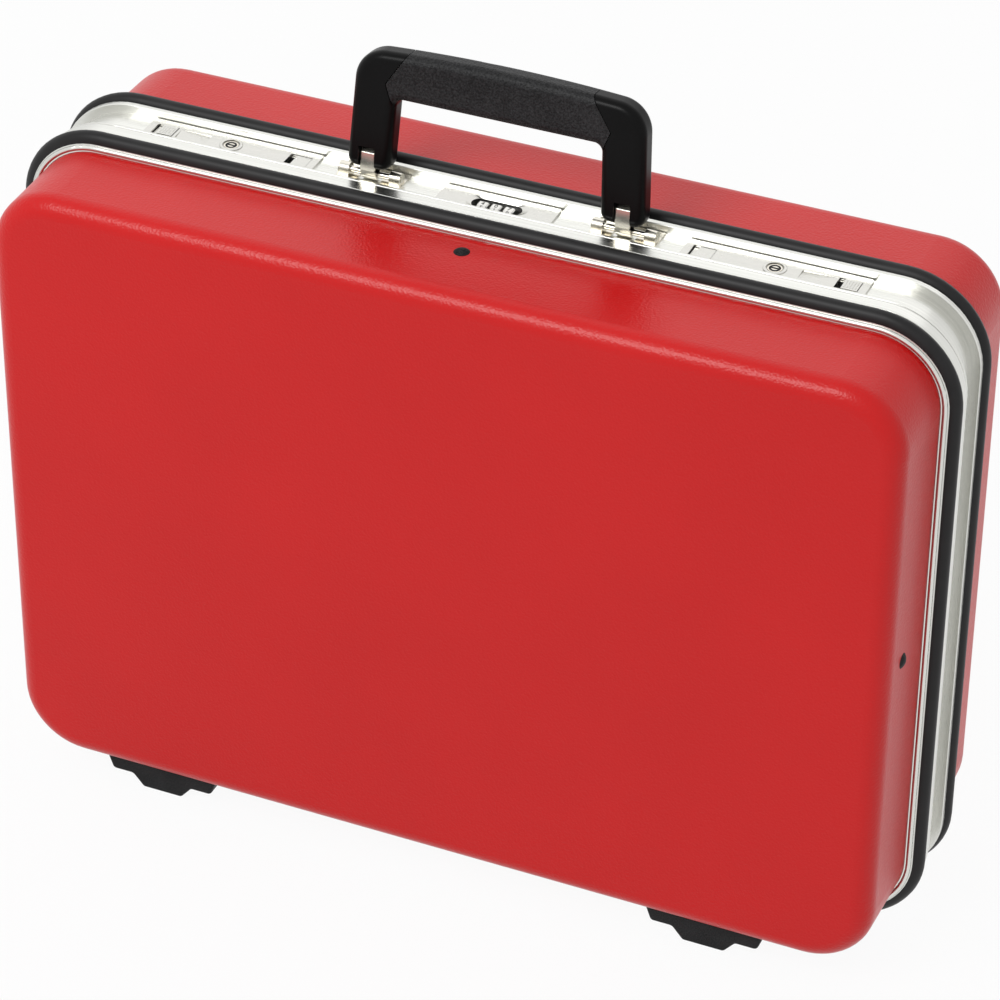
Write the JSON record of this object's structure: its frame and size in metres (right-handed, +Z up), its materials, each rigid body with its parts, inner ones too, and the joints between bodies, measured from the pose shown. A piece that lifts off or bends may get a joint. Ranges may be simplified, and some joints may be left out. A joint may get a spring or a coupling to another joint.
{
  "type": "hard case",
  "caption": "Upright hard carrying case with moulded shells in an aluminium double frame, slide locks, number lock, folding handle and a lid hinged along the bottom.",
  "frame": {"origin": "middle of the bounding box at the height of the feet's undersides", "axes": "+X along the length of the case, +Y from the lid at the front to the base at the back, +Z up"},
  "size_m": [0.4882, 0.154, 0.4255],
  "materials": {
    "shell_red": "moulded red plastic with a fine leather grain and a soft gloss",
    "frame_aluminium": "brushed aluminium extrusion",
    "cord_rubber": "matt black rubber",
    "lock_steel": "plated steel, satin",
    "bright_steel": "bright plated steel",
    "inner_steel": "plain plated steel",
    "wheel_metal": "satin metal with plain numbers",
    "grip_plastic": "matt black plastic with a fine grain",
    "arm_plastic": "smooth black plastic, half gloss",
    "foot_plastic": "matt black plastic"
  },
  "bodies": {
    "base": {"base_shell": "shell_red", "base_frame": "frame_aluminium", "base_bumper": "cord_rubber", "base_left_foot": "foot_plastic", "base_right_foot": "foot_plastic", "base_foot_screws": "inner_steel", "base_hinge_leaves": "inner_steel", "base_hinge_rivets": "inner_steel", "hinge_pins": "inner_steel", "left_lock_plate": "lock_steel", "right_lock_plate": "lock_steel", "left_lock_case": "inner_steel", "right_lock_case": "inner_steel", "left_slide_spring": "inner_steel", "right_slide_spring": "inner_steel", "combination_plate": "lock_steel", "combination_case": "inner_steel", "combination_axle": "inner_steel", "handle_left_mount": "bright_steel", "handle_right_mount": "bright_steel", "handle_left_pin": "bright_steel", "handle_right_pin": "bright_steel"},
    "lid": {"lid_shell": "shell_red", "lid_frame": "frame_aluminium", "lid_bumper": "cord_rubber", "lid_rivets": "foot_plastic", "lid_rivet_washers": "inner_steel", "lid_left_foot": "foot_plastic", "lid_right_foot": "foot_plastic", "lid_foot_screws": "inner_steel", "lid_hinge_leaves": "inner_steel", "lid_hinge_rivets": "inner_steel", "left_keeper": "inner_steel", "right_keeper": "inner_steel", "keeper_rivets": "inner_steel"},
    "left_slide": {"left_lock_slide": "lock_steel", "left_lock_bolt": "inner_steel"},
    "right_slide": {"right_lock_slide": "lock_steel", "right_lock_bolt": "inner_steel"},
    "left_key": {"left_key_cylinder": "bright_steel", "left_lock_cam": "inner_steel"},
    "right_key": {"right_key_cylinder": "bright_steel", "right_lock_cam": "inner_steel"},
    "left_wheel": {"number_wheel_left": "wheel_metal"},
    "middle_wheel": {"number_wheel_middle": "wheel_metal"},
    "right_wheel": {"number_wheel_right": "wheel_metal"},
    "handle": {"handle_grip": "grip_plastic", "handle_core": "inner_steel", "handle_left_arm": "arm_plastic", "handle_right_arm": "arm_plastic", "handle_left_strap": "bright_steel", "handle_right_strap": "bright_steel"}
  },
  "joints": [
    {"name": "lid_hinge", "type": "hinge", "parent": "base", "child": "lid", "pos_m": [0, -0.0087, 0.009], "axis": [1, 0, 0], "range_deg": [0, 95]},
    {"name": "left_lock_slide", "type": "slide", "parent": "base", "child": "left_slide", "axis": [-1, 0, 0], "range_m": [0, 0.003]},
    {"name": "right_lock_slide", "type": "slide", "parent": "base", "child": "right_slide", "axis": [-1, 0, 0], "range_m": [0, 0.003]},
    {"name": "left_key_turn", "type": "hinge", "parent": "base", "child": "left_key", "pos_m": [-0.14147, 0.00305, 0.3555], "axis": [0, 0, 1], "range_deg": [0, 90]},
    {"name": "right_key_turn", "type": "hinge", "parent": "base", "child": "right_key", "pos_m": [0.14147, 0.00305, 0.3555], "axis": [0, 0, 1], "range_deg": [0, 90]},
    {"name": "left_wheel_turn", "type": "hinge", "parent": "base", "child": "left_wheel", "pos_m": [-0.0068, 0.0022, 0.3505], "axis": [1, 0, 0], "continuous": true},
    {"name": "middle_wheel_turn", "type": "hinge", "parent": "base", "child": "middle_wheel", "pos_m": [0, 0.0022, 0.3505], "axis": [1, 0, 0], "continuous": true},
    {"name": "right_wheel_turn", "type": "hinge", "parent": "base", "child": "right_wheel", "pos_m": [0.0068, 0.0022, 0.3505], "axis": [1, 0, 0], "continuous": true},
    {"name": "handle_swing", "type": "hinge", "parent": "base", "child": "handle", "pos_m": [0, 0.00305, 0.358], "axis": [1, 0, 0], "range_deg": [-28, 41]}
  ]
}
